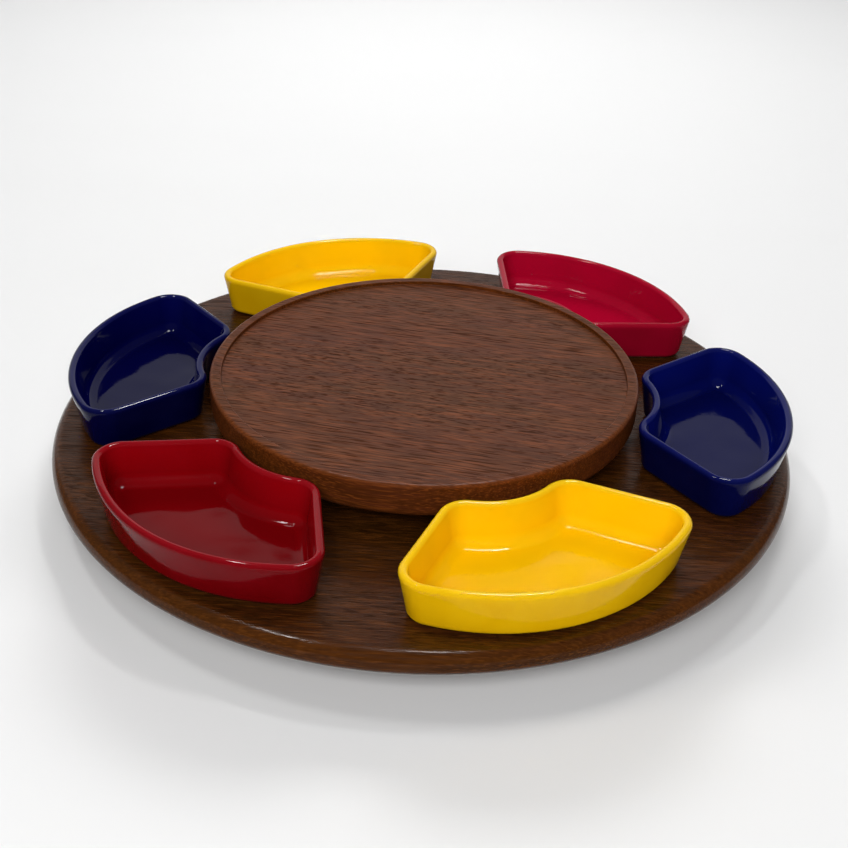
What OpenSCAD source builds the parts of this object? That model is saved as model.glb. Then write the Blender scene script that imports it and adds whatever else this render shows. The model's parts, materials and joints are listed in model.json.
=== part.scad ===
// Turning chip and dip server: a round board on a ball-bearing foot, a raised
// centre board, and six glazed wedge dishes that stand round it and lift off.
// Millimetres. +Z is up, and the origin is on the table under the turning axis.

/* [Base board] */
// Diameter of the big round board
base_d = 460; // [440:5:600]
// Thickness of the base board
base_t = 14.5; // [12:0.5:22]
// Rounding of the base board's edge, above and below
base_edge_r = 7; // [2:0.25:10]

/* [Centre board] */
// Diameter of the raised centre board
centre_d = 266; // [210:2:286]
// Thickness of the centre board
centre_t = 22.5; // [16:0.5:32]
// Width of the lip round the recess
lip_w = 7; // [4:0.5:15]
// Depth of the recess inside the lip
recess_depth = 2.6; // [1:0.2:6]
// Rounding of the centre board's top edge
centre_top_r = 2.5; // [1:0.25:3]
// Rounding of the centre board's bottom edge
centre_bottom_r = 7; // [1:0.25:10]
// Height of the riser, which is the gap under the centre board
riser_h = 12.5; // [8:0.5:20]
// Diameter of the riser
riser_d = 150; // [120:5:180]

/* [Dishes] */
// Height of a dish
dish_h = 29; // [22:0.5:42]
// How far a dish's back bulges out, from its corners to its middle
dish_bulge = 40.5; // [25:0.5:50]
// Distance between the backs of the dishes and the board's edge
dish_edge_margin = 4; // [2:0.5:15]
// Gap between the sharp back corners of neighbouring dishes
dish_side_gap = 31; // [24:1:60]
// Width of a dish's front, between its sharp front corners
dish_front_w = 65; // [56:1:90]
// Depth of the hollow curve in a dish's front
dish_scoop = 13; // [10:0.5:18]
// Gap between the centre board and a dish's sharp front corners
dish_centre_gap = 0; // [0:0.5:12]
// Radius of a dish's corners, seen from above
dish_corner_r = 17; // [15:0.5:20]
// Thickness of a dish's rim, which is rounded over
dish_rim_t = 5; // [3:0.25:6]
// How far the outside of a dish slopes in, from rim to foot
dish_draft = 4; // [0:0.5:6]
// How far the inside of a dish slopes in, from rim to floor
dish_inner_draft = 2.5; // [0:0.5:4]
// Radius between a dish's inside walls and its floor
dish_fillet_r = 8; // [3:0.5:8]
// Thickness of a dish's floor above the hollow in its foot
dish_floor_t = 3.2; // [2.8:0.1:6]

/* [Swivel] */
// Side of the square bearing plates
plate_w = 152; // [140:2:190]
// Thickness of the pressed sheet
sheet_t = 1; // [0.8:0.1:1.4]
// Diameter of the bearing balls
ball_d = 4.8; // [4:0.2:6]
// Number of balls
ball_count = 24; // [12:1:30]
// Diameter of the circle that the balls run on
ball_circle_d = 110; // [100:1:120]
// Outside diameter of the eyelet that holds the plates together
eyelet_d = 42; // [30:1:60]

/* [Foot] */
// Thickness of the foot disc
foot_t = 12; // [12:0.5:20]
// Wood left between the bearing plate's corners and the foot disc's edge
foot_margin = 7.5; // [4:0.5:40]
// Diameter of the rubber feet
pad_d = 20; // [16:1:26]
// Height of the rubber feet
pad_h = 4; // [3.5:0.25:8]
// Diameter of the hole that a screwdriver goes through
access_d = 14; // [9:0.5:16]

/* [Screws] */
// Diameter of a screw's shank
screw_d = 3.5; // [2.5:0.1:4]
// Diameter of a screw's head
screw_head_d = 7; // [5.5:0.1:8]
// Height of a pan head
pan_head_h = 1.9; // [1.4:0.1:2.1]
// How deep the plate and rubber-foot screws bite into the wood
short_bite = 9; // [6:0.5:9.5]
// How deep the riser screws bite into the centre board
long_bite = 11; // [8:0.5:11]

/* [Hidden] */
$fn = 96;

// Clearances: a screw in its hole, a running fit, balls in their race, a
// running gap between flat faces, the room behind the pressed ball groove, the
// room past a screw's point, and a hair under a dish that only stands there.
hole_clear = 0.05;
run_clear = 0.08;
race_clear = 0.1;
face_clear = 0.3;
shell_clear = 0.5;
tip_clear = 0.6;
stand_clear = 0.01;

// Heights above the table, from the bottom up.
swivel_h = ball_d + 2 * (race_clear + sheet_t + shell_clear);
foot_z = pad_h;
swivel_z = foot_z + foot_t;
base_z = swivel_z + swivel_h;
deck_z = base_z + base_t;
centre_z = deck_z + riser_h;

// The pressed plates. Heights here are above the lower plate's underside.
ball_z = swivel_h / 2;
groove_r = ball_d / 2 + race_clear;
groove_shell_r = groove_r + sheet_t;
ridge_drop = 1.4;
ridge_z = ball_z - ridge_drop;
ridge_in = sqrt(groove_r * groove_r - ridge_drop * ridge_drop) + 0.2;
ridge_out = groove_shell_r + 1.6;
ball_circle_r = ball_circle_d / 2;
eyelet_r = eyelet_d / 2;
eyelet_flange = 4;
plate_corner_r = 8;
plate_hole_inset = 10;
plate_hole = plate_w / 2 - plate_hole_inset;
plate_hole_r = screw_d / 2 + 0.3;
plate_screw_ring = plate_hole * sqrt(2);

// The foot disc covers the plate's corners, and its screwdriver hole lies
// outside the square plate, on the circle of the upper plate's screws.
foot_r = (plate_w / 2 - plate_corner_r) * sqrt(2) + plate_corner_r + foot_margin;
foot_edge_r = 3;
access_angle = 22.5;
pad_ring_r = foot_r - pad_d / 2 - foot_edge_r - 3;
pad_count = 4;
pad_bore_r = screw_d / 2 + 0.2;
pad_recess_r = screw_head_d / 2 + 0.6;
pad_seat_h = pad_h - pan_head_h - 0.8;

// The long screws run up inside the riser, in a square.
riser_edge_r = 1.5;
riser_screw_ring = 36;
riser_screw_count = 4;
long_screw_len = base_t + riser_h + long_bite;

// A dish's outline. Its own frame has +X outwards from the turning axis, and
// its origin midway between the sharp back corners.
dish_count = 6;
dish_ring_r = base_d / 2 - dish_edge_margin - dish_bulge;
half_step = 180 / dish_count;
back_half = dish_ring_r * tan(half_step) - dish_side_gap / 2 / cos(half_step);
front_half = dish_front_w / 2;
front_reach = centre_d / 2 + dish_centre_gap;
dish_len = dish_ring_r - sqrt(front_reach * front_reach - front_half * front_half);
back_r = (back_half * back_half + dish_bulge * dish_bulge) / (2 * dish_bulge);
back_centre = [dish_bulge - back_r, 0];
scoop_r = (front_half * front_half + dish_scoop * dish_scoop) / (2 * dish_scoop);
scoop_centre = [dish_scoop - dish_len - scoop_r, 0];

// Each dish: its name, its colour, its place round the ring in steps of one
// dish, and how far from its even place a hand set it down: outwards in
// millimetres, round the ring in degrees, and turned on itself in degrees.
first_dish_angle = -68.5;
DISHES = [
    ["dish_yellow_front", "#fcba04", 0, -1.5, 0, 1],
    ["dish_blue_right", "#05084a", 1, 0.5, -0.2, 0],
    ["dish_red_right", "#8c0016", 2, -1.5, -1, -2],
    ["dish_yellow_back", "#fcba04", 3, -1.5, 1.1, 0.6],
    ["dish_blue_left", "#05084a", 4, -0.5, 1.1, 1.9],
    ["dish_red_left", "#8c0016", 5, -1.2, -0.3, 1.2]
];

// ---- Shared shapes ----

// Half the cross-section of a round disc with rounded top and bottom edges.
module disc_section(r, t, top_r, bottom_r) {
    translate([0, bottom_r]) square([r, t - top_r - bottom_r]);
    translate([0, bottom_r]) square([r - top_r, t - bottom_r]);
    square([r - bottom_r, t - top_r]);
    translate([r - top_r, t - top_r]) circle(top_r);
    translate([r - bottom_r, bottom_r]) circle(bottom_r);
}

module rounded_disc(r, t, top_r, bottom_r) {
    rotate_extrude()
        intersection() {
            disc_section(r, t, top_r, bottom_r);
            square([r, t]);
        }
}

// Copies its children round the Z axis.
module ring_of(count, r, start = 0) {
    for (i = [0:count - 1])
        rotate(start + 360 * i / count) translate([r, 0, 0]) children();
}

// Four-fold places of the bearing plates' corner screws.
module at_plate_holes() {
    ring_of(4, plate_screw_ring, 45) children();
}

// The cross of a screwdriver slot, sunk from z = 0 downwards.
module cross_slot(depth) {
    for (a = [0, 90])
        rotate(a) translate([-screw_head_d * 0.3, -0.45, -depth])
            cube([screw_head_d * 0.6, 0.9, depth + 0.1]);
}

// The shank and point of a wood screw, from z = 0 downwards.
module shank(length) {
    point = screw_d * 0.8;
    translate([0, 0, point - length]) cylinder(h = length - point, r = screw_d / 2);
    translate([0, 0, -length]) cylinder(h = point, r1 = 0.3, r2 = screw_d / 2);
}

// A pan-head screw, seated on z = 0.
module pan_screw(length) {
    rounding = 0.7;
    difference() {
        union() {
            rounded_disc(screw_head_d / 2, pan_head_h, rounding, 0.1);
            shank(length);
        }
        translate([0, 0, pan_head_h]) cross_slot(pan_head_h * 0.6);
    }
}

// A countersunk screw, with its head flush with z = 0.
countersink_h = (screw_head_d - screw_d) / 2;
module flat_screw(length) {
    difference() {
        union() {
            translate([0, 0, -countersink_h])
                cylinder(h = countersink_h, r1 = screw_d / 2, r2 = screw_head_d / 2);
            shank(length);
        }
        cross_slot(countersink_h * 0.7);
    }
}

// The hole that a shank goes into, from z = 0 downwards.
module pilot(length) {
    translate([0, 0, -length - tip_clear]) cylinder(h = length + tip_clear + 1, r = screw_d / 2 + hole_clear);
}

// ---- Wood ----

module base_board() {
    edge_r = min(base_edge_r, base_t / 2 - 0.25);
    color("#3a2417") translate([0, 0, base_z]) difference() {
        rounded_disc(base_d / 2, base_t, edge_r, edge_r);
        ring_of(riser_screw_count, riser_screw_ring) {
            translate([0, 0, -1]) cylinder(h = base_t + 2, r = screw_d / 2 + hole_clear);
            translate([0, 0, -0.01])
                cylinder(h = countersink_h + 0.06, r1 = screw_head_d / 2 + 0.06, r2 = screw_d / 2);
        }
        at_plate_holes() mirror([0, 0, 1]) pilot(short_bite);
    }
}

module centre_riser() {
    color("#2e1b11") translate([0, 0, deck_z]) difference() {
        rounded_disc(riser_d / 2, riser_h, riser_edge_r, riser_edge_r);
        ring_of(riser_screw_count, riser_screw_ring)
            translate([0, 0, -1]) cylinder(h = riser_h + 2, r = screw_d / 2 + hole_clear);
    }
}

module centre_board() {
    recess_r = centre_d / 2 - lip_w;
    color("#5c4338") translate([0, 0, centre_z]) difference() {
        rounded_disc(centre_d / 2, centre_t, centre_top_r, min(centre_bottom_r, centre_t - centre_top_r - 1));
        translate([0, 0, centre_t - recess_depth]) cylinder(h = recess_depth + 1, r = recess_r);
        ring_of(riser_screw_count, riser_screw_ring) mirror([0, 0, 1]) pilot(long_bite);
    }
}

module riser_screws() {
    color("#b0a080") translate([0, 0, base_z])
        ring_of(riser_screw_count, riser_screw_ring) mirror([0, 0, 1]) flat_screw(long_screw_len);
}

// ---- Foot ----

module foot_disc() {
    color("#3a2417") translate([0, 0, foot_z]) difference() {
        rounded_disc(foot_r, foot_t, foot_edge_r, foot_edge_r);
        translate([0, 0, foot_t]) at_plate_holes() pilot(short_bite);
        ring_of(pad_count, pad_ring_r) mirror([0, 0, 1]) pilot(short_bite);
        rotate(access_angle) translate([plate_screw_ring, 0, -1])
            cylinder(h = foot_t + 2, r = access_d / 2);
    }
}

// A rubber foot: a low bevelled disc, recessed below for its screw's head.
module foot_pads() {
    bevel = 1.2;
    color("#1c1c1c") ring_of(pad_count, pad_ring_r) difference() {
        union() {
            cylinder(h = bevel, r1 = pad_d / 2 - bevel, r2 = pad_d / 2);
            translate([0, 0, bevel]) cylinder(h = pad_h - bevel, r = pad_d / 2);
        }
        translate([0, 0, -1]) cylinder(h = pad_h + 2, r = pad_bore_r);
        translate([0, 0, -1]) cylinder(h = pad_h - pad_seat_h + 1, r = pad_recess_r);
    }
}

module foot_pad_screws() {
    color("#b0a080") ring_of(pad_count, pad_ring_r)
        translate([0, 0, pad_h - pad_seat_h]) mirror([0, 0, 1]) pan_screw(pad_seat_h + short_bite);
}

// ---- Swivel ----

module plate_outline() {
    straight = plate_w - 2 * plate_corner_r;
    square([plate_w, straight], center = true);
    square([straight, plate_w], center = true);
    for (x = [-1, 1], y = [-1, 1])
        translate([x * straight / 2, y * straight / 2]) circle(plate_corner_r);
}

// Half the cross-section of the pressed middle of a plate: the ball groove
// with a ridge on each side, a wall down to the flange, and the flat that the
// eyelet clips.
module pressed_section() {
    difference() {
        union() {
            intersection() {
                translate([ball_circle_r, ball_z]) circle(groove_shell_r);
                translate([ball_circle_r - groove_shell_r, 0]) square([2 * groove_shell_r, ridge_z]);
            }
            translate([ball_circle_r + ridge_in, ridge_z - sheet_t])
                square([ridge_out - ridge_in, sheet_t]);
            translate([ball_circle_r + ridge_out - sheet_t, 0]) square([sheet_t, ridge_z]);
            translate([eyelet_r + run_clear, ridge_z - sheet_t])
                square([ball_circle_r - ridge_in - eyelet_r - run_clear, sheet_t]);
        }
        translate([ball_circle_r, ball_z]) circle(groove_r);
    }
}

// One bearing plate, with its flange's underside on z = 0.
module bearing_plate() {
    difference() {
        union() {
            linear_extrude(sheet_t) difference() {
                plate_outline();
                circle(ball_circle_r + ridge_out - sheet_t / 2);
            }
            rotate_extrude() pressed_section();
        }
        at_plate_holes() translate([0, 0, -1]) cylinder(h = sheet_t + 2, r = plate_hole_r);
    }
}

module swivel_lower_plate() {
    color("#a9abad") translate([0, 0, swivel_z]) bearing_plate();
}

module swivel_upper_plate() {
    color("#a9abad") translate([0, 0, base_z]) mirror([0, 0, 1]) bearing_plate();
}

// A short tube, flanged over the upper plate and, with a running gap, under
// the lower one.
module swivel_eyelet() {
    flat_z = ridge_z - sheet_t;
    bottom_z = flat_z - face_clear - sheet_t;
    top_z = swivel_h - flat_z;
    color("#8d8f92") translate([0, 0, swivel_z]) rotate_extrude() {
        translate([eyelet_r - sheet_t, bottom_z]) square([sheet_t, top_z + sheet_t - bottom_z]);
        translate([eyelet_r - sheet_t, bottom_z]) square([sheet_t + eyelet_flange, sheet_t]);
        translate([eyelet_r - sheet_t, top_z]) square([sheet_t + eyelet_flange, sheet_t]);
    }
}

module swivel_balls() {
    color("#d8dadc") translate([0, 0, swivel_z + ball_z]) ring_of(ball_count, ball_circle_r) sphere(ball_d / 2);
}

module ball_cage() {
    cage_t = 1.2;
    cage_half_w = ball_d / 2 + 1.6;
    color("#c9a227") translate([0, 0, swivel_z + ball_z - cage_t / 2]) difference() {
        cylinder(h = cage_t, r = ball_circle_r + cage_half_w);
        translate([0, 0, -1]) cylinder(h = cage_t + 2, r = ball_circle_r - cage_half_w);
        ring_of(ball_count, ball_circle_r) translate([0, 0, -1])
            cylinder(h = cage_t + 2, r = ball_d / 2 + run_clear);
    }
}

module lower_plate_screws() {
    color("#b0a080") translate([0, 0, swivel_z + sheet_t])
        at_plate_holes() pan_screw(sheet_t + short_bite);
}

module upper_plate_screws() {
    color("#b0a080") translate([0, 0, base_z - sheet_t])
        at_plate_holes() mirror([0, 0, 1]) pan_screw(sheet_t + short_bite);
}

// ---- Dishes ----

// A point of an outline and its outward normal, [x, y, nx, ny], at angle a of
// an arc. side is 1 where the dish lies inside the arc and -1 where it lies
// outside.
function arc_point(centre, r, a, side) =
    [centre[0] + r * cos(a), centre[1] + r * sin(a), side * cos(a), side * sin(a)];

// The points of an arc: both ends, or only those between them.
function whole_arc(centre, r, a0, a1, steps, side) =
    [for (i = [0:steps]) arc_point(centre, r, a0 + (a1 - a0) * i / steps, side)];
function inner_arc(centre, r, a0, a1, steps, side) =
    [for (i = [1:steps - 1]) arc_point(centre, r, a0 + (a1 - a0) * i / steps, side)];

// How far along the line from start, in direction dir, a point first comes to
// distance r from centre.
function along_to(start, dir, centre, r) =
    let (from_centre = start - centre, back = from_centre * dir)
    -back - sqrt(back * back - from_centre * from_centre + r * r);

function angle_of(v) = atan2(v[1], v[0]);

// The straight side runs from the sharp back corner to the sharp front corner.
side_start = [0, back_half];
side_run = [-dish_len, front_half - back_half];
side_dir = side_run / norm(side_run);
side_in = [-side_dir[1], side_dir[0]];
side_angle = angle_of(-side_in);
corner_start = side_start + dish_corner_r * side_in;
back_corner = corner_start
    + side_dir * along_to(corner_start, side_dir, back_centre, back_r - dish_corner_r);
front_corner = corner_start
    + side_dir * along_to(corner_start, side_dir, scoop_centre, scoop_r + dish_corner_r);
back_angle = angle_of(back_corner - back_centre);
scoop_angle = angle_of(front_corner - scoop_centre);

corner_points = concat(
    whole_arc(back_corner, dish_corner_r, back_angle, side_angle, 8, 1),
    whole_arc(front_corner, dish_corner_r, side_angle, scoop_angle + 180, 8, 1));
last_corner = len(corner_points) - 1;
dish_outline = concat(
    inner_arc(back_centre, back_r, -back_angle, back_angle, 16, 1),
    corner_points,
    inner_arc(scoop_centre, scoop_r, scoop_angle, -scoop_angle, 8, -1),
    [for (i = [last_corner:-1:0])
        let (p = corner_points[i]) [p[0], -p[1], p[2], -p[3]]]);

// A dish's wall, as [distance in from the outline, height], from the hollow
// under its foot, up the outside, over the rim and down to the floor.
foot_hollow_h = 0.8;
foot_lift = 0.8;
foot_round_r = 4;
foot_inset = dish_draft + foot_round_r;
foot_ring_w = 4;
floor_z = foot_hollow_h + dish_floor_t;
rim_r = dish_rim_t / 2;
fillet_r = min(dish_fillet_r, dish_corner_r - dish_rim_t - dish_inner_draft - 1);
fillet_in = dish_rim_t + dish_inner_draft + fillet_r;
dish_section = concat(
    [[foot_inset + foot_ring_w + 1, foot_hollow_h], [foot_inset + foot_ring_w, 0], [foot_inset, 0]],
    [for (a = [0:30:90])
        [foot_inset - foot_round_r * sin(a), foot_lift + foot_round_r * (1 - cos(a))]],
    [for (a = [0:30:180]) [rim_r - rim_r * cos(a), dish_h - rim_r + rim_r * sin(a)]],
    [for (a = [0:22.5:90])
        [fillet_in - fillet_r * cos(a), floor_z + fillet_r * (1 - sin(a))]]);

// The closed surface of one dish, in its own frame.
module dish_shell() {
    n = len(dish_outline);
    rings = len(dish_section);
    points = [for (s = dish_section, p = dish_outline)
        [p[0] - s[0] * p[2], p[1] - s[0] * p[3], s[1]]];
    walls = [for (i = [0:rings - 2], j = [0:n - 1])
        let (k = (j + 1) % n, low = i * n, high = low + n)
        each [[low + j, high + j, high + k], [low + j, high + k, low + k]]];
    underside = [for (j = [0:n - 1]) j];
    floor_face = [for (j = [n - 1:-1:0]) (rings - 1) * n + j];
    polyhedron(points, concat([underside], walls, [floor_face]));
}

module dish(name) {
    place = [for (d = DISHES) if (d[0] == name) d][0];
    around = first_dish_angle + 360 / dish_count * place[2] + place[4];
    color(place[1])
        rotate(around) translate([dish_ring_r + place[3], 0, deck_z + stand_clear])
            rotate(place[5]) dish_shell();
}

base_board();
centre_board();
centre_riser();
riser_screws();
foot_disc();
foot_pads();
foot_pad_screws();
swivel_lower_plate();
swivel_upper_plate();
swivel_eyelet();
swivel_balls();
ball_cage();
lower_plate_screws();
upper_plate_screws();
for (d = DISHES) dish(d[0]);
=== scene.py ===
"""Looks for the turning chip and dip server: turned wood boards, glazed wedge dishes and a metal swivel.

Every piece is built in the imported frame's own axes, in metres, round the turning axis at x = y = 0. The
object's heights and radii come from that frame. What its boxes can't say, such as a lip's width, is a named
property.
"""

import json
import math

import bpy
import numpy as np
from bpy.props import FloatProperty, FloatVectorProperty, IntProperty, PointerProperty
from bpy.types import NodeSocket
from mathutils import Matrix, Vector

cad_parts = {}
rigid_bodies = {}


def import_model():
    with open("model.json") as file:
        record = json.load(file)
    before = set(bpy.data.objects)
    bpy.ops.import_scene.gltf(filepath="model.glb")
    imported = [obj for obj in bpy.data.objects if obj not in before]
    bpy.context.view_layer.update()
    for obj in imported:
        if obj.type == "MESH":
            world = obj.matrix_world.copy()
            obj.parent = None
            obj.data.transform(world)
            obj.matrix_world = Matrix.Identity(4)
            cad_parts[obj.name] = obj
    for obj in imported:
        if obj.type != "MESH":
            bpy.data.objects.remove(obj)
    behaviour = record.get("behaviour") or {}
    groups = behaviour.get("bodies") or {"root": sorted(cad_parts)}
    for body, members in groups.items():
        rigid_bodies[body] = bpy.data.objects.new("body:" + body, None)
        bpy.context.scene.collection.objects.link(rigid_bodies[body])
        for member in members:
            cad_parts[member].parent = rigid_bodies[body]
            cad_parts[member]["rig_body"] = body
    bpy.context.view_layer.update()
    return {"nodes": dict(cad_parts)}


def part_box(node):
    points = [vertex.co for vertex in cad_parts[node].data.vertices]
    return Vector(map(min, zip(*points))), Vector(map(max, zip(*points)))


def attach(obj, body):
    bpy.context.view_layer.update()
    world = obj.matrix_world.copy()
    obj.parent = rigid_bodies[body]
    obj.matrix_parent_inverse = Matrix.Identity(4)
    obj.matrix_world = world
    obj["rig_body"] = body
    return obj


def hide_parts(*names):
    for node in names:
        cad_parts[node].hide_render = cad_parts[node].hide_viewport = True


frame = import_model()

bl_info = {
    "name": "Chip and Dip Server",
    "version": (1, 0, 0),
    "blender": (4, 5, 0),
    "location": "View3D > Sidebar > Server",
    "description": "Builds the looks of a turning chip and dip server round its packed CAD frame",
    "category": "Add Mesh",
}

MM = 0.001

# Each dish: node, glaze, its place round the ring in steps of one dish, how far a hand put it from its even
# place (outwards in millimetres, round the ring in degrees, and turned on itself in degrees), and how thin
# and bright its glaze fired, from 0 to 1.
DISHES = (
    ("dish_yellow_front", "yellow", 0, -1.5, 0.0, 1.0, 0.0),
    ("dish_blue_right", "blue", 1, 0.5, -0.2, 0.0, 1.0),
    ("dish_red_right", "red", 2, -1.5, -1.0, -2.0, 1.0),
    ("dish_yellow_back", "yellow", 3, -1.5, 1.1, 0.6, 0.0),
    ("dish_blue_left", "blue", 4, -0.5, 1.1, 1.9, 0.0),
    ("dish_red_left", "red", 5, -1.2, -0.3, 1.2, 0.0),
)
FIRST_DISH_ANGLE = -68.5


def top_of(node):
    """The highest z of a CAD node."""
    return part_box(node)[1].z


def bottom_of(node):
    """The lowest z of a CAD node."""
    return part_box(node)[0].z


def radius_of(node):
    """The radius of a round CAD node that is centred on the turning axis."""
    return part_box(node)[1].x


# ---------------------------------------------------------------- properties


def length(name, description, default):
    """A length property in metres."""
    return FloatProperty(
        name=name, description=description, default=default, unit="LENGTH", subtype="DISTANCE"
    )


def colour(name, description, default):
    """A colour property, linear red, green and blue."""
    return FloatVectorProperty(
        name=name, description=description, default=default, size=3, min=0, max=1, subtype="COLOR"
    )


def power(name, description, watts):
    """A lamp's power property, in watts."""
    return FloatProperty(name=name, description=description, default=watts, unit="POWER")


def angle(name, description, degrees):
    """An angle property, given in degrees and kept in radians."""
    return FloatProperty(
        name=name, description=description, default=math.radians(degrees), unit="ROTATION", subtype="ANGLE"
    )


class ServerBoards(bpy.types.PropertyGroup):
    """Sizes of the turned wood."""

    base_edge: length("Base edge", "Rounding of the base board's edge", 0.007)
    riser_edge: length("Riser edge", "Rounding of the riser's edge", 0.0015)
    lip_width: length("Lip width", "Width of the lip round the centre board's recess", 0.007)
    recess_depth: length("Recess depth", "Depth of the recess inside the lip", 0.0026)
    centre_top_edge: length("Top edge", "Rounding of the centre board's top edge", 0.0025)
    centre_bottom_edge: length("Bottom edge", "Rounding of the centre board's bottom edge", 0.007)
    base_grain: angle("Base grain", "Direction of the base board's grain from +X", -3)
    centre_grain: angle("Centre grain", "Direction of the centre board's grain from +X", -11)
    segments: IntProperty(name="Segments", description="Faces round a board", default=384, min=64, max=1024)


class ServerDishes(bpy.types.PropertyGroup):
    """Sizes of the wedge dishes."""

    bulge: length("Bulge", "How far a dish's back bulges out from its corners to its middle", 0.0405)
    edge_margin: length("Edge margin", "From a dish's back to the base board's edge", 0.004)
    side_gap: length("Side gap", "Gap between the sharp back corners of neighbouring dishes", 0.031)
    front_width: length("Front width", "Width of a dish's front between its sharp corners", 0.065)
    scoop: length("Scoop", "Depth of the hollow curve in a dish's front", 0.013)
    corner: length("Corner", "Radius of the corners seen from above", 0.017)
    rim: length("Rim", "Thickness of the rounded rim", 0.005)
    draft: length("Outer draft", "How far the outside slopes in from rim to foot", 0.004)
    inner_draft: length("Inner draft", "How far the inside slopes in from rim to floor", 0.0025)
    fillet: length("Fillet", "Radius between the inside walls and the floor", 0.008)
    floor: length("Floor", "Thickness of the floor above the hollow in the foot", 0.0032)
    hollow: length("Hollow", "Depth of the hollow under the foot", 0.0008)
    foot_lift: length("Foot lift", "Height of the foot ring's outer wall", 0.0008)
    foot_round: length("Foot round", "Rounding from the foot ring to the outside", 0.004)
    foot_ring: length("Foot ring", "Width of the ring that a dish stands on", 0.004)
    unevenness: length("Unevenness", "How far the cast walls wander from true", 0.0002)


class ServerColours(bpy.types.PropertyGroup):
    """Colours of the wood, glazes, metals, rubber and floor."""

    base_wood: colour("Base wood", "Middle tone of the base board", (0.048, 0.0142, 0.0022))
    centre_wood: colour("Centre wood", "Middle tone of the centre board", (0.090, 0.0226, 0.0041))
    yellow: colour("Yellow glaze", "Body of the yellow glaze", (0.71, 0.388, 0.0004))
    yellow_thin: colour("Yellow rim", "Yellow glaze where it's thin", (0.90, 0.60, 0.015))
    red: colour("Red glaze", "Red glaze where it's deep", (0.125, 0.0003, 0.0015))
    red_bright: colour("Bright red", "Red glaze where it fired bright", (0.34, 0.0013, 0.020))
    red_thin: colour("Red rim", "Red glaze where it's thin", (0.26, 0.006, 0.014))
    blue: colour("Blue glaze", "Blue glaze where it's deep", (0.0003, 0.0004, 0.024))
    blue_bright: colour("Bright blue", "Blue glaze where it fired bright", (0.0005, 0.0014, 0.035))
    blue_thin: colour("Blue rim", "Blue glaze where it's thin", (0.008, 0.011, 0.09))
    clay: colour("Clay", "Bare clay of the ring under a dish's foot", (0.62, 0.50, 0.38))
    plate_steel: colour("Plate steel", "Zinc-plated plates of the swivel", (0.60, 0.61, 0.62))
    eyelet_steel: colour("Eyelet steel", "Rolled eyelet of the swivel", (0.50, 0.51, 0.52))
    ball_steel: colour("Ball steel", "Polished balls", (0.80, 0.81, 0.82))
    cage_brass: colour("Cage brass", "Stamped ball cage", (0.72, 0.50, 0.16))
    screw_brass: colour("Screw brass", "Brassed screws", (0.62, 0.50, 0.28))
    rubber: colour("Rubber", "Black rubber of the feet", (0.012, 0.012, 0.012))
    bloom: colour("Bloom", "Pale bloom on the rubber", (0.035, 0.034, 0.033))
    floor: colour("Floor", "Matt floor paint", (0.86, 0.86, 0.86))


class ServerStudio(bpy.types.PropertyGroup):
    """Camera and light."""

    camera_rise: angle("Rise", "The camera's angle above the base board, seen from its middle", 30.86)
    camera_distance: length("Distance", "From the camera to the middle of the base board's top", 0.8144)
    camera_roll: angle("Roll", "The camera's turn about its own line of sight", 2.02)
    camera_lens: FloatProperty(
        name="Lens",
        description="Focal length on a 36 mm sensor, in millimetres",
        default=54.09,
        unit="CAMERA",
    )
    aim_side: length("Aim side", "Where the camera looks, to the right of the axis", 0.0008)
    aim_front: length("Aim front", "Where the camera looks, in front of the axis", 0.0112)
    key_power: power("Key", "Each small overhead lamp", 2.8)
    softbox_power: power("Softbox", "The overhead lamp that only draws highlights on rims and edges", 5)
    fill_power: power("Fill", "The big lamp in front", 28)
    rear_power: power("Rear", "The lamp behind, which throws the boards' shadows forwards", 11)
    panel_power: power("Panel", "The pale panel behind the floor, which the gloss mirrors", 29)
    wash_power: power("Wash", "The lamp over the back of the floor", 24)
    sky: FloatProperty(name="Sky", description="Strength of the light from all round", default=0.09)


# ---------------------------------------------------------------- surfaces


def line(start, stop, count):
    """Points on a straight line, start + t (stop - start) for t from 0 to 1, both ends included."""
    return np.linspace(start, stop, count)


def arc(centre, radius, start, stop, count):
    """Points on an arc, centre + radius (cos a, sin a), for a from start to stop in degrees."""
    a = np.radians(np.linspace(start, stop, count))
    return np.stack([centre[0] + radius * np.cos(a), centre[1] + radius * np.sin(a)], axis=1)


def grid_faces(rows, columns):
    """Quads between neighbouring rows of a grid whose columns close into a ring. With rows running up the
    outside and columns anticlockwise seen from above, the faces look outwards."""
    row, column = np.meshgrid(np.arange(rows - 1), np.arange(columns), indexing="ij")
    here = row * columns + column
    beside = row * columns + (column + 1) % columns
    return np.stack([here, beside, beside + columns, here + columns], axis=-1).reshape(-1, 4)


def make_piece(name, points, faces, attributes=None):
    """A smooth mesh object at the origin, with one float attribute on its points for each of attributes."""
    mesh = bpy.data.meshes.new(name)
    mesh.from_pydata(points.tolist(), [], faces)
    mesh.polygons.foreach_set("use_smooth", np.ones(len(mesh.polygons), dtype=bool))
    for key, values in (attributes or {}).items():
        layer = mesh.attributes.new(key, "FLOAT", "POINT")
        layer.data.foreach_set("value", np.asarray(values, dtype=np.float32))
    mesh.update()
    piece = bpy.data.objects.new(name, mesh)
    bpy.context.scene.collection.objects.link(piece)
    return piece


def finish_piece(piece, node, material):
    """Gives a new piece its material, lets it ride on its node's body and stand for that node."""
    piece.data.materials.append(material)
    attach(piece, frame["nodes"][node]["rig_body"])
    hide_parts(node)


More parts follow.
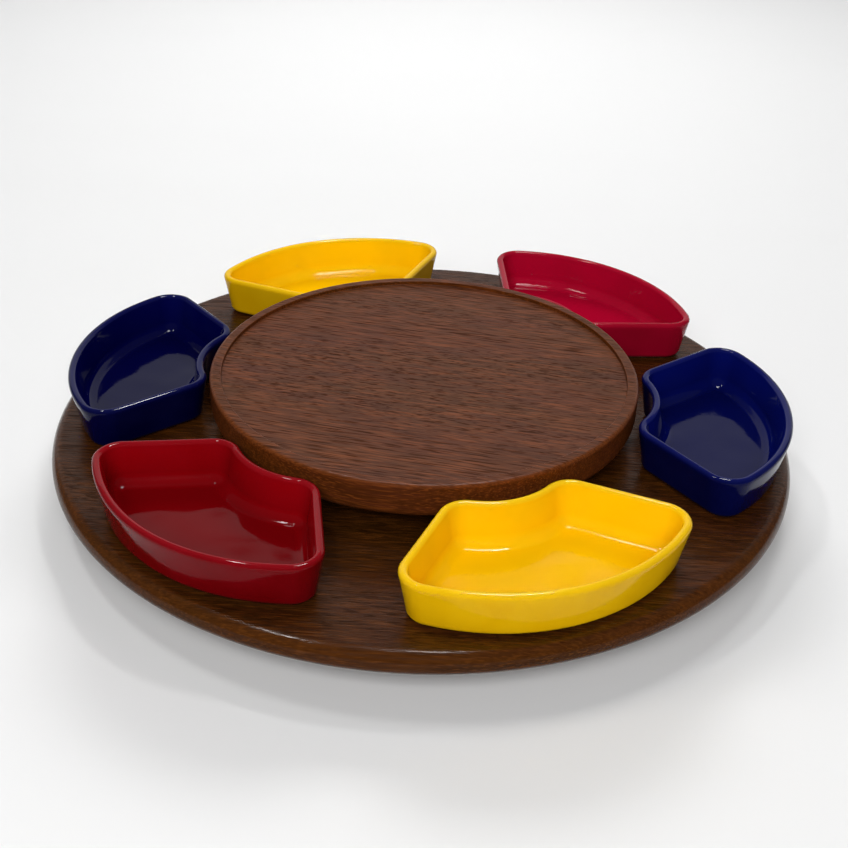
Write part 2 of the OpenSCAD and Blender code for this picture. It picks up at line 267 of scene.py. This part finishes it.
def revolve(name, section, segments):
    """A closed surface of revolution: each (r, z) of the section becomes a ring (r cos a, r sin a, z).

    The section is rows of (r, z, wear), from the bottom of the axis, outwards and up, to the top of the
    axis. Its first and last rows lie on the axis. They become one point each, joined to the next ring by a
    fan."""
    a = np.linspace(0, 2 * np.pi, segments, endpoint=False)
    radius, height, wear_and_sheen = (section[1:-1, i : i + 1] for i in range(3))
    rings = np.stack(
        [radius * np.cos(a), radius * np.sin(a), np.broadcast_to(height, (len(height), segments))], axis=-1
    )
    poles = np.array([[0, 0, section[0, 1]], [0, 0, section[-1, 1]]])
    points = np.concatenate([rings.reshape(-1, 3), poles])
    column = np.arange(segments)
    beside = (column + 1) % segments
    top_row = (len(height) - 1) * segments
    low_pole = np.full(segments, len(points) - 2)
    high_pole = low_pole + 1
    fans = np.concatenate(
        [
            np.stack([low_pole, beside, column], axis=1),
            np.stack([high_pole, top_row + column, top_row + beside], axis=1),
        ]
    )
    faces = grid_faces(len(height), segments).tolist() + fans.tolist()
    wear_and_sheen = np.concatenate([np.repeat(wear_and_sheen[:, 0], segments), section[[0, -1], 2]])
    return make_piece(name, points, faces, {"wear_and_sheen": wear_and_sheen})


def with_wear(points, wear_and_sheen):
    """Adds a wear column to (r, z) points: one number, or as many as there are points."""
    return np.column_stack([points, np.broadcast_to(wear_and_sheen, len(points))])


def rounded(centre, radius, start, stop):
    """A rounded edge of a section. Its share of wear and painted sheen grows from its ends to its middle as
    a half sine wave.
    """
    count = 15
    return with_wear(arc(centre, radius, start, stop, count), np.sin(np.linspace(0, np.pi, count)))


# Points across the flat underside or top of a board, from its axis to its edge.
FLAT_ROWS = 12


def disc_section(radius, bottom, top, bottom_edge, top_edge):
    """The outer half-section of a round board, from the bottom of the axis to the start of its top face."""
    return np.concatenate(
        [
            with_wear(line((0, bottom), (radius - bottom_edge, bottom), FLAT_ROWS)[:-1], 0),
            rounded((radius - bottom_edge, bottom + bottom_edge), bottom_edge, -90, 0),
            rounded((radius - top_edge, top - top_edge), top_edge, 0, 90),
        ]
    )


def flat_top(section):
    """Closes a section with a flat face from its last point in to the axis."""
    radius, top = section[-1, :2]
    return np.concatenate([section, with_wear(line((radius, top), (0, top), FLAT_ROWS)[1:], 0)])


# ---------------------------------------------------------------- materials


def set_socket(tree, socket, value):
    """Links an input to another node's output, or sets it to a plain value."""
    if isinstance(value, NodeSocket):
        tree.links.new(value, socket)
    else:
        socket.default_value = value


def add_node(tree, kind, inputs=None, **settings):
    """A new node with its settings and inputs."""
    node = tree.nodes.new(kind)
    for key, value in settings.items():
        setattr(node, key, value)
    for key, value in (inputs or {}).items():
        set_socket(tree, node.inputs[key], value)
    return node


def new_material(name):
    """An empty material with its node tree and its shader."""
    material = bpy.data.materials.new(name)
    material.use_nodes = True
    tree = material.node_tree
    tree.nodes.clear()
    shader = add_node(tree, "ShaderNodeBsdfPrincipled")
    add_node(tree, "ShaderNodeOutputMaterial", {"Surface": shader.outputs["BSDF"]})
    return material, tree, shader


def set_shader(tree, shader, **inputs):
    """Sets or links the shader's sockets. An underscore in a name stands for a space."""
    for key, value in inputs.items():
        set_socket(tree, shader.inputs[key.replace("_", " ")], value)


def place(tree, scale, turn=0.0, shift=(0, 0, 0)):
    """Object coordinates turned about z, moved and stretched: the pattern's own axes."""
    coordinates = add_node(tree, "ShaderNodeTexCoord").outputs["Object"]
    turned = add_node(
        tree, "ShaderNodeMapping", {"Vector": coordinates, "Rotation": (0, 0, -turn), "Location": shift}
    )
    return add_node(tree, "ShaderNodeMapping", {"Vector": turned.outputs[0], "Scale": scale}).outputs[0]


def noise(tree, vector, detail=2.0, roughness=0.5):
    """The grey value of a noise texture."""
    inputs = {"Vector": vector, "Scale": 1.0, "Detail": detail, "Roughness": roughness}
    return add_node(tree, "ShaderNodeTexNoise", inputs).outputs["Fac"]


def cloud(tree, count, detail=2.0, roughness=0.5, shift=(0, 0, 0)):
    """Noise alike in every direction, with about count patches in a metre."""
    return noise(tree, place(tree, (count, count, count), 0, shift), detail, roughness)


def calculate(tree, operation, a, b=0.0):
    """One Math node."""
    return add_node(tree, "ShaderNodeMath", {0: a, 1: b}, operation=operation).outputs[0]


def plus(tree, a, b):
    """The sum of two values."""
    return calculate(tree, "ADD", a, b)


def minus(tree, a, b):
    """The difference of two values."""
    return calculate(tree, "SUBTRACT", a, b)


def times(tree, a, b):
    """The product of two values."""
    return calculate(tree, "MULTIPLY", a, b)


def spread(tree, value, low, high, to_low=0.0, to_high=1.0):
    """Maps low..high to to_low..to_high, clamped."""
    inputs = {"Value": value, "From Min": low, "From Max": high, "To Min": to_low, "To Max": to_high}
    return add_node(tree, "ShaderNodeMapRange", inputs).outputs[0]


def blend(tree, factor, a, b):
    """One Mix node for colours: inputs 0, 6 and 7 are the factor and colours, and output 2 is the mix."""
    return add_node(tree, "ShaderNodeMix", {0: factor, 6: a, 7: b}, data_type="RGBA").outputs[2]


def wash(tree, shade, mask, share, colour_over):
    """Lays a colour over shade where mask is, never stronger than share."""
    return blend(tree, times(tree, mask, share), shade, colour_over)


def bump(tree, height, distance, normal=None):
    """One Bump node, on top of another one's normal if given. distance is the real height of a step from 0
    to 1, in metres."""
    inputs = {"Height": height, "Distance": distance}
    if normal is not None:
        inputs["Normal"] = normal
    return add_node(tree, "ShaderNodeBump", inputs).outputs[0]


def attribute(tree, name):
    """A float attribute of the mesh."""
    return add_node(tree, "ShaderNodeAttribute", attribute_name=name).outputs["Fac"]


def flatness(tree):
    """0.3 on an upright side, 1 on a level face."""
    facing = add_node(tree, "ShaderNodeTexCoord").outputs["Normal"]
    upward = add_node(tree, "ShaderNodeSeparateXYZ", {"Vector": facing}).outputs["Z"]
    return spread(tree, calculate(tree, "ABSOLUTE", upward), 0.2, 0.9, 0.3, 1)


def tone(rgb, factor=1.0):
    """A colour made lighter or darker, as the RGBA that sockets take."""
    return tuple(min(1.0, c * factor) for c in rgb) + (1.0,)


def wood(name, middle, grain, shift, roughness, gloss):
    """Open-grained hardwood, oiled and rubbed.

    The grain lies along the turned x axis. Every layer is a noise stretched along it: wide slow bands,
    growth figure, fibres, pale hairs, and pores, which are short dark dashes. In the slow bands the pores
    get longer and the tone warmer. Pores are pits, so they lose their sheen. Worn edges are burnished, and
    lighter, partly from wear and partly as a painted sheen. The turned sides, cut across the grain, soak up
    more oil: they show fewer pores and less sheen."""
    material, tree, shader = new_material(name)

    def layer(along, across, offset, detail=2.0, rough=0.5):
        """Noise with along patches in a metre of grain and across patches in a metre of width."""
        moved = (shift[0] + offset, shift[1] + offset, shift[2])
        return noise(tree, place(tree, (along, across, across), grain, moved), detail, rough)

    band = spread(tree, layer(3, 18, 0.1), 0.4, 0.62)
    cast = spread(tree, layer(9, 30, 0.6), 0.4, 0.6)
    growth = times(tree, layer(3.5, 38, 0.5, 3), 70)
    figure = spread(tree, calculate(tree, "SINE", growth), -1, 1)
    streaks = spread(tree, layer(14, 300, 0.8, 2), 0.38, 0.62)
    fibres = spread(tree, layer(40, 700, 0.3, 3, 0.6), 0.35, 0.65)
    hairs = spread(tree, layer(60, 1150, 0.7, 1), 0.5, 0.68)
    long_pores = layer(65, 950, 0.2, 1)
    short_pores = layer(150, 1050, 0.9, 1)
    longer = times(tree, band, minus(tree, long_pores, short_pores))
    flat = flatness(tree)
    pores = times(tree, spread(tree, plus(tree, short_pores, longer), 0.5, 0.66), flat)

    red, green, blue = middle
    olive = (red * 0.95, green * 1.12, blue * 0.8)
    plum = (red, green * 0.92, blue * 1.9)
    warm = (red * 1.5, green * 1.35, blue * 0.9)
    shade = blend(tree, cast, tone(olive), tone(plum))
    shade = wash(tree, shade, figure, 0.5, tone(middle, 1.3))
    shade = wash(tree, shade, band, 0.45, tone(warm))
    shade = wash(tree, shade, streaks, 0.5, tone(middle, 0.55))
    shade = wash(tree, shade, fibres, 0.5, tone(middle, 0.5))
    shade = wash(tree, shade, hairs, 0.7, tone(middle, 2.3))
    shade = wash(tree, shade, pores, 0.7, tone(middle, 0.3))
    # Rounded edges: partly real wear, partly a painted sheen that lightens their colour.
    wear_and_sheen = attribute(tree, "wear_and_sheen")
    worn_and_sheen = times(tree, wear_and_sheen, spread(tree, fibres, 0, 1, 0.5, 0.2))
    shade = blend(tree, worn_and_sheen, shade, tone(middle, 2.0))

    rough = spread(tree, plus(tree, fibres, pores), 0, 1.6, roughness, roughness + 0.16)
    rough = minus(tree, rough, times(tree, wear_and_sheen, 0.12))
    sheen = times(tree, spread(tree, pores, 0, 1, gloss, gloss * 0.3), flat)
    relief = bump(tree, fibres, 0.00002)
    relief = bump(tree, minus(tree, 1.0, pores), 0.00004, relief)
    set_shader(
        tree, shader, Base_Color=shade, Roughness=rough, Specular_IOR_Level=sheen, Normal=relief, IOR=1.5
    )
    return material


def glaze(name, tones, clay, painted_light_inside, pooling, shift):
    """Opaque gloss glaze over pale clay.

    tones are its deep body, its bright body and its thin rim, and a dish fires somewhere between the first
    two. The inside walls are painted lighter than those two by the given factors: a painted light, as if
    more light fell on them than on the outside and the floor. Towards the fillet and floor that painted
    light is taken off again by the given share, partly as glaze pooling deeper there and partly as painted
    shade.
    The glaze breaks paler on the rim, wanders in tone, and leaves the ring under the foot bare. The outside
    is handled most and is duller, and the rim is the smoothest. The bump is the slow waviness of fired
    glaze, with a faint fine one on top."""
    material, tree, shader = new_material(name)
    body, bright, thin = tones
    inside = attribute(tree, "inside")
    fired = attribute(tree, "fired")
    rim = attribute(tree, "rim")
    bare = attribute(tree, "bare")

    outer = blend(tree, fired, tone(body), tone(bright))
    # Painted light: the inside walls get a lighter copy of the glaze, as if more light fell on them.
    inner = blend(tree, fired, tone(body, painted_light_inside[0]), tone(bright, painted_light_inside[1]))
    shade = blend(tree, inside, outer, inner)
    mottle = cloud(tree, 38, detail=3, shift=(shift, 0, 0))
    shade = blend(tree, spread(tree, mottle, 0.35, 0.65, 0.16, 0), shade, tone(thin))
    drift = cloud(tree, 17, detail=4, shift=(0, 0, shift))
    shade = blend(tree, spread(tree, drift, 0.45, 0.7, 0, 0.25), shade, tone(body, 0.75))
    # Painted shade and pooling: the inside walls' painted light is taken back off towards the fillet and
    # floor.
    shade = wash(tree, shade, attribute(tree, "pool"), pooling, outer)
    speck = spread(tree, cloud(tree, 700, shift=(shift, 0, 0)), 0.35, 0.65, 0.6, 1)
    shade = wash(tree, shade, rim, speck, tone(thin))
    shade = blend(tree, bare, shade, tone(clay))

    waves = cloud(tree, 26, detail=1, shift=(0, shift, 0))
    relief = bump(tree, waves, 0.0009)
    relief = bump(tree, cloud(tree, 420), 0.000015, relief)
    smear = cloud(tree, 60, detail=4, shift=(0, 0, shift))
    rough = plus(tree, spread(tree, smear, 0.4, 0.7, 0.05, 0.1), times(tree, bare, 0.7))
    sheen = plus(tree, spread(tree, inside, 0, 1, 0.05, 0.22), times(tree, rim, 0.6))
    set_shader(
        tree, shader, Base_Color=shade, Roughness=rough, Specular_IOR_Level=sheen, Normal=relief, IOR=1.5
    )
    return material


def metal(name, rgb, roughness, dullness):
    """Sheet or turned metal: a tone that wanders, tarnished patches, and fine scratches in its gloss."""
    material, tree, shader = new_material(name)
    patches = cloud(tree, 70, detail=5, roughness=0.65)
    shade = blend(tree, spread(tree, patches, 0.35, 0.7), tone(rgb), tone(rgb, dullness))
    scratches = noise(tree, place(tree, (180, 2600, 700), 0.5), detail=3)
    rough = spread(tree, plus(tree, patches, scratches), 0.7, 1.3, roughness, roughness + 0.2)
    relief = bump(tree, scratches, 0.00001)
    set_shader(tree, shader, Base_Color=shade, Roughness=rough, Normal=relief, Metallic=1.0)
    return material


def rubber(black, bloom):
    """Black moulded rubber with a faint bloom and a fine grain."""
    material, tree, shader = new_material("rubber")
    patches = cloud(tree, 140, detail=4)
    shade = blend(tree, spread(tree, patches, 0.4, 0.8), tone(black), tone(bloom))
    rough = spread(tree, patches, 0.3, 0.7, 0.6, 0.8)
    relief = bump(tree, cloud(tree, 3000, detail=1), 0.00003)
    set_shader(tree, shader, Base_Color=shade, Roughness=rough, Normal=relief)
    return material


def matt_paint(name, rgb):
    """Matt paint for the floor, with the faintest mottle."""
    material, tree, shader = new_material(name)
    shade = blend(tree, cloud(tree, 5), tone(rgb, 0.985), tone(rgb))
    set_shader(tree, shader, Base_Color=shade, Roughness=0.9)
    return material


# ---------------------------------------------------------------- dishes


def dish_outline(size, ring_radius, front_reach, count):
    """The closed outline of a dish seen from above, as points and outward normals.

    +X is outwards from the turning axis and the origin is midway between the sharp back corners. The
    outline is arcs joined by straight sides: a back that bulges out, two back corners, two front corners,
    and a hollow scoop between them. Each corner's circle touches its straight side and its neighbouring
    arc."""
    back_steps, back_corner_steps, side_steps, front_corner_steps, scoop_steps = 64, 28, 16, 24, 32
    half_step = math.pi / count
    back_half = ring_radius * math.tan(half_step) - size.side_gap / 2 / math.cos(half_step)
    front_half = size.front_width / 2
    depth = ring_radius - math.sqrt(front_reach**2 - front_half**2)
    back_radius = (back_half**2 + size.bulge**2) / (2 * size.bulge)
    back_centre = np.array([size.bulge - back_radius, 0])
    scoop_radius = (front_half**2 + size.scoop**2) / (2 * size.scoop)
    scoop_centre = np.array([size.scoop - depth - scoop_radius, 0])

    start = np.array([0, back_half])
    run = np.array([-depth, front_half - back_half])
    run = run / np.linalg.norm(run)
    inwards = np.array([-run[1], run[0]])
    first = start + size.corner * inwards

    def corner_touching(centre, distance):
        """A corner's centre: on the line beside the straight side, at that distance from centre."""
        offset = first - centre
        along = offset @ run
        return first + run * (-along - math.sqrt(along**2 - offset @ offset + distance**2))

    def degrees(v):
        return math.degrees(math.atan2(v[1], v[0]))

    back_corner = corner_touching(back_centre, back_radius - size.corner)
    front_corner = corner_touching(scoop_centre, scoop_radius + size.corner)
    back_turn = degrees(back_corner - back_centre)
    side_turn = degrees(-inwards)
    scoop_turn = degrees(front_corner - scoop_centre)

    def curve(centre, radius, begin, end, steps, side=1.0):
        """Points of an arc and their normals, away from its centre, or towards it where side is -1."""
        a = np.radians(np.linspace(begin, end, steps))
        ray = np.stack([np.cos(a), np.sin(a)], axis=1)
        return np.concatenate([centre + radius * ray, side * ray], axis=1)

    def straight(begin, end, steps):
        """Points and normals of the side that joins two corners, given their centres."""
        where = np.linspace(begin - size.corner * inwards, end - size.corner * inwards, steps)
        return np.concatenate([where, np.broadcast_to(-inwards, where.shape)], axis=1)

    corner = np.concatenate(
        [
            curve(back_corner, size.corner, back_turn, side_turn, back_corner_steps)[:-1],
            straight(back_corner, front_corner, side_steps)[:-1],
            curve(front_corner, size.corner, side_turn, scoop_turn + 180, front_corner_steps),
        ]
    )
    outline = np.concatenate(
        [
            curve(back_centre, back_radius, -back_turn, back_turn, back_steps)[1:-1],
            corner,
            curve(scoop_centre, scoop_radius, scoop_turn, -scoop_turn, scoop_steps, -1.0)[1:-1],
            corner[::-1] * (1, -1, 1, -1),
        ]
    )
    return outline[:, :2], outline[:, 2:]


# What the glaze reads from a dish's surface: an attribute on its points for each name.
SHARES = ("rim", "pool", "bare", "inside")


def dish_section(size, height):
    """A dish's wall as rows of distance in from the outline, height, and the four SHARES, from 0 to 1.

    It goes from the hollow under the foot, up the drafted outside, over the half-round rim, down the inside
    and round the fillet to the floor. The shares say how strongly the glaze thins over the rim, how far the
    painted light on the inside walls is taken off again towards the floor, partly as pooled glaze and
    partly as painted shade, whether the glaze is missing, and how far inside the dish it lies."""
    foot_rows, outside_rows, rim_rows, inside_rows, fillet_rows = 9, 12, 19, 10, 15
    ease = 0.0002
    hollow_slope = 0.001
    least_corner = 0.001
    outside_share, crest_share = 0.06, 0.3
    pool_start = 0.3

    foot = size.draft + size.foot_round
    ring_end = foot + size.foot_ring
    rim = size.rim / 2
    floor = size.hollow + size.floor
    wall_foot = size.rim + size.inner_draft
    fillet = min(size.fillet, size.corner - wall_foot - least_corner)

    def rows(points, **shares):
        columns = [np.broadcast_to(shares.get(name, 0), len(points)) for name in SHARES]
        return np.column_stack([points, *columns])

    around_foot = arc((foot, size.foot_lift + size.foot_round), size.foot_round, 270, 180, foot_rows)
    around_rim = arc((rim, height - rim), rim, 180, 0, rim_rows)
    around_fillet = arc((wall_foot + fillet, floor + fillet), fillet, 180, 270, fillet_rows)
    outside = line(around_foot[-1], around_rim[0], outside_rows)[1:-1]
    inside = line(around_rim[-1], around_fillet[0], inside_rows)[1:-1]
    over_rim = np.linspace(0, 1, rim_rows)
    crest = outside_share + crest_share * np.sin(np.pi * over_rim) ** 2
    return np.concatenate(
        [
            rows(line((ring_end + hollow_slope, size.hollow), (ring_end, ease), 4), bare=(0, 0.6, 1, 1)),
            rows(line((ring_end - 2 * ease, 0), (foot + 1.5 * ease, 0), 4), bare=1),
            rows(line((foot, ease), (foot, size.foot_lift), 3)[:-1], bare=(1, 0.8)),
            rows(around_foot, bare=np.linspace(0.25, 0, foot_rows) ** 2),
            rows(outside, rim=np.linspace(0, outside_share, len(outside))),
            rows(around_rim, rim=crest, inside=over_rim),
            # Pool and shade share: rises down the inside wall and round the fillet, taking off the walls'
            # painted light.
            rows(inside, pool=np.linspace(0, pool_start, len(inside)), inside=1),
            rows(around_fillet, pool=np.linspace(pool_start, 1, fillet_rows), inside=1),
        ]
    )


def dish_surface(outline, normals, section, unevenness, phase):
    """A dish's points in its own frame: outline - inset * normal, at each height of the section.

    A cast wall wanders: each point moves along the outline's normal by unevenness times two slow waves
    round the dish, which fade out towards the foot."""
    t = np.linspace(0, 2 * np.pi, len(outline), endpoint=False)
    rise = section[:, 1:2] / section[:, 1].max()
    wave = np.sin(2 * t + phase) + 0.6 * np.sin(5 * t + 2.3 * phase)
    inset = section[:, 0:1] + unevenness * wave * rise**2
    flat = outline[None] - inset[..., None] * normals[None]
    height = np.broadcast_to(section[:, 1:2], inset.shape)
    sag = unevenness * 0.8 * np.sin(3 * t + phase) * rise**4
    return np.concatenate([flat, (height + sag)[..., None]], axis=2)


def put_round_ring(points, ring_radius, stand, step, outwards, around, twist):
    """Moves a dish from its own frame to its place on the base board, as its row of DISHES says."""
    round_ring = FIRST_DISH_ANGLE + 360 / len(DISHES) * step + around
    shift = Matrix.Translation((ring_radius + outwards * MM, 0, stand))
    turn, own_turn = (Matrix.Rotation(math.radians(degrees), 4, "Z") for degrees in (round_ring, twist))
    whole = np.array(turn @ shift @ own_turn)
    return points @ whole[:3, :3].T + whole[:3, 3]


def make_dish(node, glaze_name, step, outwards, around, twist, fired, size, glazes):
    """One glazed wedge dish: a grid for its wall, and flat caps for its floor and the hollow below it."""
    stand = bottom_of(node)
    ring_radius = radius_of("base_board") - size.edge_margin - size.bulge
    outline, normals = dish_outline(size, ring_radius, radius_of("centre_board"), len(DISHES))
    section = dish_section(size, top_of(node) - stand)
    phase = 1.7 * step
    grid = dish_surface(outline, normals, section, size.unevenness, phase)
    rows, columns = grid.shape[:2]
    points = put_round_ring(grid.reshape(-1, 3), ring_radius, stand, step, outwards, around, twist)
    ring = np.arange(columns)
    caps = [ring[::-1].tolist(), (ring + (rows - 1) * columns).tolist()]
    attributes = {name: np.repeat(section[:, 2 + i], columns) for i, name in enumerate(SHARES)}
    attributes["fired"] = np.full(len(points), fired)
    piece = make_piece(node + "_glazed", points, grid_faces(rows, columns).tolist() + caps, attributes)
    finish_piece(piece, node, glazes[glaze_name])


# ---------------------------------------------------------------- operators


def turn_board(node, section, segments, material):
    """Turns a board from its section and lets it stand for its node."""
    finish_piece(revolve(node + "_turned", section, segments), node, material)


def paint_node(node, material):
    """Gives a CAD node that stays in view its material."""
    slots = frame["nodes"][node].data.materials
    slots.clear()
    slots.append(material)


class SERVER_OT_boards(bpy.types.Operator):
    """Turn the base board, centre board and riser, and paint the foot disc."""

    bl_idname = "server.boards"
    bl_label = "Wood boards"

    def execute(self, context):
        size = context.scene.server_boards
        colours = context.scene.server_colours
        rubbed, dry, gloss = 0.19, 0.4, 0.3
        base_shift, centre_shift = (0.13, 0.41, 0.2), (0.52, 0.08, 0.7)
        base_wood = wood("base_wood", colours.base_wood, size.base_grain, base_shift, rubbed, gloss)
        centre_wood = wood("centre_wood", colours.centre_wood, size.centre_grain, centre_shift, dry, gloss)

        def outer(node, bottom_edge, top_edge):
            return disc_section(radius_of(node), bottom_of(node), top_of(node), bottom_edge, top_edge)

        base = flat_top(outer("base_board", size.base_edge, size.base_edge))
        turn_board("base_board", base, size.segments, base_wood)

        rim = outer("centre_board", size.centre_bottom_edge, size.centre_top_edge)
        centre = flat_top(np.concatenate([rim, self.lip_step(size)]))
        turn_board("centre_board", centre, size.segments, centre_wood)

        riser = flat_top(outer("centre_riser", size.riser_edge, size.riser_edge))
        turn_board("centre_riser", riser, size.segments // 2, base_wood)
        paint_node("foot_disc", base_wood)
        return {"FINISHED"}

    def lip_step(self, size):
        """The step down from the centre board's lip to its recess, eased above and below."""
        ease = 0.0005
        inner = radius_of("centre_board") - size.lip_width
        top = top_of("centre_board")
        return np.concatenate(
            [
                rounded((inner + ease, top - ease), ease, 90, 180),
                with_wear(arc((inner - ease, top - size.recess_depth + ease), ease, 0, -90, 8), 0),
            ]
        )


class SERVER_OT_dishes(bpy.types.Operator):
    """Cast and glaze the six wedge dishes."""

    bl_idname = "server.dishes"
    bl_label = "Glazed dishes"

    def execute(self, context):
        size = context.scene.server_dishes
        colours = context.scene.server_colours
        yellow = (colours.yellow, colours.yellow, colours.yellow_thin)
        red = (colours.red, colours.red_bright, colours.red_thin)
        blue = (colours.blue, colours.blue_bright, colours.blue_thin)
        glazes = {
            "yellow": glaze("glaze_yellow", yellow, colours.clay, (1.5, 1.5), 0.45, 0.3),
            "red": glaze("glaze_red", red, colours.clay, (2.3, 1.22), 0.9, 0.9),
            "blue": glaze("glaze_blue", blue, colours.clay, (2.4, 3.4), 0.9, 1.7),
        }
        for dish in DISHES:
            make_dish(*dish, size, glazes)
        return {"FINISHED"}


class SERVER_OT_hardware(bpy.types.Operator):
    """Finish the swivel, its balls, the screws and the rubber feet."""

    bl_idname = "server.hardware"
    bl_label = "Swivel, screws and feet"

    def execute(self, context):
        colours = context.scene.server_colours
        plate = metal("plate_steel", colours.plate_steel, 0.28, 0.72)
        screw = metal("screw_brass", colours.screw_brass, 0.25, 0.6)
        finishes = {
            "swivel_lower_plate": plate,
            "swivel_upper_plate": plate,
            "swivel_eyelet": metal("eyelet_steel", colours.eyelet_steel, 0.25, 0.7),
            "swivel_balls": metal("ball_steel", colours.ball_steel, 0.06, 0.95),
            "ball_cage": metal("cage_brass", colours.cage_brass, 0.25, 0.6),
            "riser_screws": screw,
            "lower_plate_screws": screw,
            "upper_plate_screws": screw,
            "foot_pad_screws": screw,
            "foot_pads": rubber(colours.rubber, colours.bloom),
        }
        for node, material in finishes.items():
            paint_node(node, material)
        return {"FINISHED"}


def add_light(name, centre, aim, size, watts, mirrored=True, lights=True):
    """A rectangular lamp at centre, facing aim. One that isn't mirrored lights the scene but shows in no
    gloss, and one that doesn't light shows in gloss alone."""
    data = bpy.data.lights.new(name, "AREA")
    data.shape = "RECTANGLE"
    data.size, data.size_y = size
    data.energy = watts
    lamp = bpy.data.objects.new(name, data)
    lamp.location = centre
    lamp.visible_glossy = mirrored
    lamp.visible_diffuse = lights
    lamp.rotation_euler = (Vector(aim) - Vector(centre)).to_track_quat("-Z", "Y").to_euler()
    bpy.context.scene.collection.objects.link(lamp)


class SERVER_OT_stage(bpy.types.Operator):
    """Set up the floor, the soft lights and the camera."""

    bl_idname = "server.stage"
    bl_label = "Stage"

    def execute(self, context):
        studio = context.scene.server_studio
        middle = (0, 0, top_of("base_board"))
        self.add_floor(context.scene.server_colours.floor)
        self.add_lamps(studio, middle)
        self.add_sky(studio.sky)
        self.add_camera(studio, middle)
        context.scene.view_settings.view_transform = "Standard"
        return {"FINISHED"}

    def add_floor(self, rgb):
        """A wide flat disc under the feet."""
        corners, reach = 64, 6.0
        a = np.linspace(0, 2 * np.pi, corners, endpoint=False)
        points = np.stack([reach * np.cos(a), reach * np.sin(a), np.zeros(corners)], axis=1)
        floor = make_piece("floor", points, [list(range(corners))])
        floor.data.materials.append(matt_paint("floor_paint", rgb))

    def add_lamps(self, studio, middle):
        """Small lamps overhead, big soft ones in front and behind, and a panel for the gloss to mirror."""
        strip = (0.30, 0.08)
        add_light("overhead_left", (-0.50, 0.0, 1.45), middle, strip, studio.key_power)
        add_light("overhead_right", (0.28, 0.30, 1.50), middle, strip, studio.key_power)
        add_light("softbox", (0.13, 0.2, 1.4), middle, (0.28, 0.35), studio.softbox_power, lights=False)
        add_light("front", (-0.1, -1.55, 1.25), middle, (1.2, 0.8), studio.fill_power, mirrored=False)
        add_light("rear", (0.0, 1.3, 1.2), middle, (0.8, 0.5), studio.rear_power, mirrored=False)
        add_light("back_panel", (0, 3.4, 1.45), (0, 0, 1.45), (8.0, 2.9), studio.panel_power)
        add_light("floor_wash", (0, 2.6, 1.9), (0, 2.2, 0), (3.0, 1.5), studio.wash_power, mirrored=False)

    def add_sky(self, strength):
        """An even pale light from all round."""
        world = bpy.data.worlds.new("studio")
        world.use_nodes = True
        background = world.node_tree.nodes["Background"]
        background.inputs["Color"].default_value = (1, 1, 1, 1)
        background.inputs["Strength"].default_value = strength
        bpy.context.scene.world = world

    def add_camera(self, studio, middle):
        """A camera in front of the server, above it, looking a little in front of its middle."""
        data = bpy.data.cameras.new("camera")
        data.sensor_width = 36
        data.lens = studio.camera_lens
        data.clip_start = 0.01
        camera = bpy.data.objects.new("camera", data)
        back = studio.camera_distance * math.cos(studio.camera_rise)
        up = studio.camera_distance * math.sin(studio.camera_rise)
        camera.location = Vector(middle) + Vector((0, -back, up))
        aim = Vector(middle) + Vector((studio.aim_side, -studio.aim_front, 0))
        look = (aim - camera.location).to_track_quat("-Z", "Y").to_matrix()
        camera.rotation_euler = (look @ Matrix.Rotation(studio.camera_roll, 3, "Z")).to_euler()
        bpy.context.scene.collection.objects.link(camera)
        bpy.context.scene.camera = camera


class SERVER_PT_panel(bpy.types.Panel):
    """Lists the server's operators."""

    bl_idname = "SERVER_PT_panel"
    bl_label = "Chip and dip server"
    bl_space_type = "VIEW_3D"
    bl_region_type = "UI"
    bl_category = "Server"

    def draw(self, context):
        for operator in OPERATORS:
            self.layout.operator(operator.bl_idname)


GROUPS = {
    "server_boards": ServerBoards,
    "server_dishes": ServerDishes,
    "server_colours": ServerColours,
    "server_studio": ServerStudio,
}
OPERATORS = (SERVER_OT_boards, SERVER_OT_dishes, SERVER_OT_hardware, SERVER_OT_stage)


def register():
    """Adds the classes to Blender, and a group of properties to the scene for each of GROUPS."""
    for kind in (*GROUPS.values(), *OPERATORS, SERVER_PT_panel):
        bpy.utils.register_class(kind)
    for name, group in GROUPS.items():
        setattr(bpy.types.Scene, name, PointerProperty(type=group))


def unregister():
    """Takes out what register added."""
    for name in GROUPS:
        delattr(bpy.types.Scene, name)
    for kind in reversed((*GROUPS.values(), *OPERATORS, SERVER_PT_panel)):
        bpy.utils.unregister_class(kind)


def main():
    register()
    bpy.ops.server.boards()
    bpy.ops.server.dishes()
    bpy.ops.server.hardware()
    bpy.ops.server.stage()


if __name__ == "__main__":
    main()
